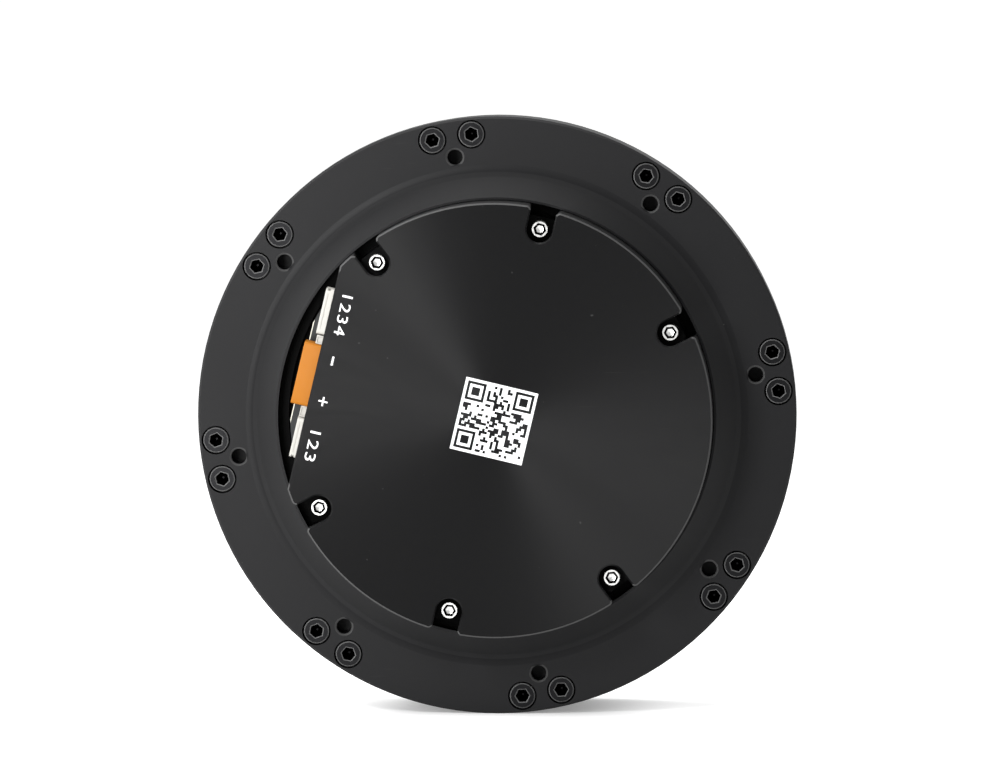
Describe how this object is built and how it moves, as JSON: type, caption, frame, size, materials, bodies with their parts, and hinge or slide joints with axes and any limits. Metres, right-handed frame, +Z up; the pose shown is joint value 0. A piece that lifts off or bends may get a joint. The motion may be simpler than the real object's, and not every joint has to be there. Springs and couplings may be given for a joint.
{
  "type": "robot joint actuator",
  "caption": "Flat round joint actuator: a motor drives an output flange through a planetary reducer, with a driver board under the rear cover.",
  "frame": {"origin": "centre of the rear bolt circle, on the rear face of the mounting flange, on the output axis", "axes": "+Y along the output axis towards the output flange, +Z up, +X to the right seen from the rear cover"},
  "size_m": [0.098, 0.0385, 0.098],
  "materials": {
    "black_anodised": "satin black anodised",
    "turned_cover": "turned and black anodised",
    "output_aluminium": "satin black anodised",
    "bare_aluminium": "machined",
    "black_steel": "black oxide",
    "bright_steel": "bright",
    "bearing_steel": "ground",
    "lamination_steel": "plain",
    "magnet_nickel": "nickel plated",
    "copper_wire": "enamelled",
    "circuit_board": "solder mask",
    "chip_resin": "moulded",
    "capacitor_can": "plain",
    "orange_plastic": "moulded",
    "cream_plastic": "moulded",
    "gold_plate": "plated",
    "tinned_contact": "tinned",
    "seal_rubber": "moulded"
  },
  "bodies": {
    "housing": {"rear_housing": "black_anodised", "flange_bolts": "black_steel", "rear_cover": "turned_cover", "cover_screws": "bright_steel", "driver_board": "circuit_board", "power_connector": "orange_plastic", "power_pins": "gold_plate", "four_way_connector": "cream_plastic", "four_way_contacts": "tinned_contact", "three_way_connector": "cream_plastic", "three_way_contacts": "tinned_contact", "power_transistors": "chip_resin", "microcontroller": "chip_resin", "gate_driver": "chip_resin", "encoder_chip": "chip_resin", "bus_capacitors": "capacitor_can", "phase_leads": "copper_wire", "stator_core": "lamination_steel", "stator_windings": "copper_wire", "ring_gear": "bearing_steel", "ring_gear_screws": "black_steel", "front_housing": "black_anodised", "bearing_retainer": "black_anodised", "retainer_screws": "black_steel", "output_seal": "seal_rubber", "output_bearing_outer": "bearing_steel", "output_bearing_rollers": "bearing_steel", "rear_bearing_outer": "bearing_steel"},
    "rotor": {"rotor_bell": "bare_aluminium", "back_iron": "lamination_steel", "rotor_magnets": "magnet_nickel", "rotor_shaft": "bearing_steel", "bell_screws": "bright_steel", "encoder_magnet": "magnet_nickel", "sun_gear": "bearing_steel", "rear_bearing_inner": "bearing_steel", "nose_bearing_inner": "bearing_steel"},
    "output": {"output_flange": "output_aluminium", "carrier_plate": "bare_aluminium", "carrier_screws": "bright_steel", "planet_pins": "bearing_steel", "output_bearing_inner": "bearing_steel", "bearing_lock_ring": "bearing_steel", "nose_bearing_outer": "bearing_steel", "centre_cap": "turned_cover"},
    "planet_1": {"planet_gear_1": "bearing_steel", "planet_bush_1": "bearing_steel"},
    "planet_2": {"planet_gear_2": "bearing_steel", "planet_bush_2": "bearing_steel"},
    "planet_3": {"planet_gear_3": "bearing_steel", "planet_bush_3": "bearing_steel"}
  },
  "joints": [
    {"name": "output_spin", "type": "hinge", "parent": "housing", "child": "output", "pos_m": [0, 0, 0], "axis": [0, 1, 0], "continuous": true},
    {"name": "rotor_spin", "type": "hinge", "parent": "housing", "child": "rotor", "pos_m": [0, 0, 0], "axis": [0, 1, 0], "continuous": true},
    {"name": "planet_1_spin", "type": "hinge", "parent": "output", "child": "planet_1", "pos_m": [-0.01401, 0, 0.00331], "axis": [0, 1, 0], "continuous": true},
    {"name": "planet_2_spin", "type": "hinge", "parent": "output", "child": "planet_2", "pos_m": [0.00988, 0, 0.01048], "axis": [0, 1, 0], "continuous": true},
    {"name": "planet_3_spin", "type": "hinge", "parent": "output", "child": "planet_3", "pos_m": [0.00414, 0, -0.01379], "axis": [0, 1, 0], "continuous": true}
  ],
  "couplings": [
    {"joint": "rotor_spin", "follows": "output_spin", "ratio": 6},
    {"joint": "planet_1_spin", "follows": "output_spin", "ratio": -2.5},
    {"joint": "planet_2_spin", "follows": "output_spin", "ratio": -2.5},
    {"joint": "planet_3_spin", "follows": "output_spin", "ratio": -2.5}
  ]
}
